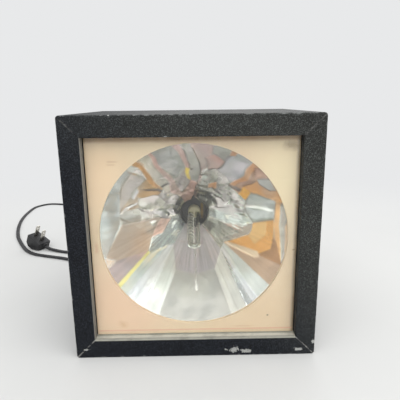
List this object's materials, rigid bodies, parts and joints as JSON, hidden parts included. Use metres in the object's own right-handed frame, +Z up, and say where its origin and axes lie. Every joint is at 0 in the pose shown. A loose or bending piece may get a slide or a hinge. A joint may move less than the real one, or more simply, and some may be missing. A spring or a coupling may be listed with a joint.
{
  "type": "strobe light",
  "caption": "Square strobe light: a black wooden box with a clear window, a mirrored film cone round a hairpin flash tube, rear speed and power controls, and a power cord with a plug.",
  "frame": {"origin": "middle of the underside of the box, without its cord", "axes": "+X right seen from the front, +Y from the window to the back, +Z up"},
  "size_m": [0.4378, 0.55, 0.2032],
  "materials": {
    "black_paint": "black pebbled paint on wood, worn at the edges",
    "glue_block": "bare wood",
    "cream_panel": "cream paint on hardboard, matt",
    "clear_acrylic": "clear sheet",
    "mirror_film": "mirrored film, creased",
    "dark_phenolic": "moulded, satin",
    "brass": "satin",
    "ceramic": "unglazed",
    "clear_glass": "clear",
    "tungsten": "dull grey metal",
    "nickel": "nickel plate",
    "zinc_steel": "zinc plated",
    "black_metal": "satin black",
    "black_plastic": "moulded, satin",
    "black_rubber": "matt",
    "circuit_board": "brown laminate",
    "blue_sleeve": "shrunk sleeve",
    "copper_winding": "lacquered copper wire",
    "red_film": "dipped",
    "white_ceramic": "matt",
    "black_wire": "insulation",
    "yellow_wire": "insulation",
    "red_wire": "insulation",
    "white_wire": "insulation",
    "paper_tie": "paper covered tie"
  },
  "bodies": {
    "cabinet": {"board_top": "black_paint", "board_bottom": "black_paint", "board_left": "black_paint", "board_right": "black_paint", "corner_block_top_left": "glue_block", "corner_block_top_right": "glue_block", "corner_block_bottom_left": "glue_block", "corner_block_bottom_right": "glue_block", "front_mask": "cream_panel", "front_window": "clear_acrylic", "reflector_cone": "mirror_film", "lamp_socket": "dark_phenolic", "switch_case": "dark_phenolic", "socket_contact": "brass", "lamp_foot": "ceramic", "flash_tube": "clear_glass", "fuse": "clear_glass", "cathode": "tungsten", "anode": "tungsten", "trigger_wire": "nickel", "switch_bush": "nickel", "switch_nut": "nickel", "plug_blade_far": "nickel", "plug_blade_near": "nickel", "socket_strap": "zinc_steel", "strap_screw_left": "zinc_steel", "strap_screw_right": "zinc_steel", "rear_screw_top_left": "zinc_steel", "rear_screw_top_right": "zinc_steel", "rear_screw_bottom_left": "zinc_steel", "rear_screw_bottom_right": "zinc_steel", "speed_control_body": "zinc_steel", "speed_control_nut": "zinc_steel", "rear_panel": "black_metal", "thyristor": "black_plastic", "rectifier_diode_1": "black_plastic", "rectifier_diode_2": "black_plastic", "strain_relief": "black_rubber", "power_cord_lead": "black_rubber", "power_cord_coil": "black_rubber", "power_cord_tail": "black_rubber", "plug_body": "black_rubber", "circuit_board": "circuit_board", "storage_capacitor_left": "blue_sleeve", "storage_capacitor_right": "blue_sleeve", "trigger_coil": "copper_winding", "trigger_capacitor": "red_film", "power_resistor": "white_ceramic", "cathode_lead": "black_wire", "cord_core_live": "black_wire", "trigger_lead": "yellow_wire", "anode_lead": "red_wire", "switch_lead": "red_wire", "cord_core_neutral": "white_wire", "speed_lead_end": "white_wire", "speed_lead_wiper": "white_wire", "cord_tie": "paper_tie"},
    "speed_knob": {"speed_knob": "black_plastic", "speed_shaft": "brass"},
    "power_lever": {"switch_lever": "nickel"}
  },
  "joints": [
    {"name": "speed_knob_turn", "type": "hinge", "parent": "cabinet", "child": "speed_knob", "pos_m": [0.04, 0.0642, 0.145], "axis": [0, 1, 0], "range_deg": [-150, 150]},
    {"name": "power_lever_flip", "type": "hinge", "parent": "cabinet", "child": "power_lever", "pos_m": [-0.04, 0.0602, 0.145], "axis": [1, 0, 0], "range_deg": [0, 24]}
  ]
}
